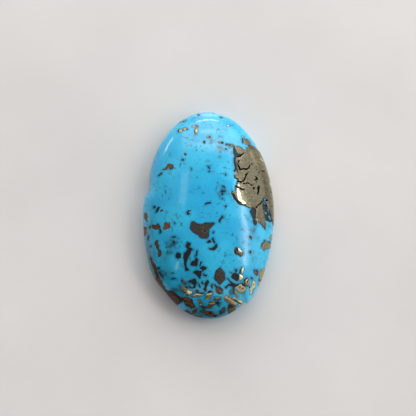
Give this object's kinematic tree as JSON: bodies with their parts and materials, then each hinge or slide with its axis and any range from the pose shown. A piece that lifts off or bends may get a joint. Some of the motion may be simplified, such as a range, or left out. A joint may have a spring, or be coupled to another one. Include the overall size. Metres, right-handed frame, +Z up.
{
  "type": "polished turquoise cabochon with pyrite",
  "caption": "Oval polished turquoise stone with a low domed face, a flat sawn back, brassy pyrite along one side and dark host-rock inclusions, ready to set or to lie on a table.",
  "frame": {"origin": "centre of the stone's box, on the plane of its flat sawn back", "axes": "+Y along the long axis towards the end without the bevel, +X towards the pyrite side, +Z up out of the dome"},
  "size_m": [0.02, 0.0318, 0.0072],
  "materials": {
    "turquoise": null
  },
  "bodies": {
    "root": {"turquoise_stone": "turquoise"}
  },
  "joints": []
}
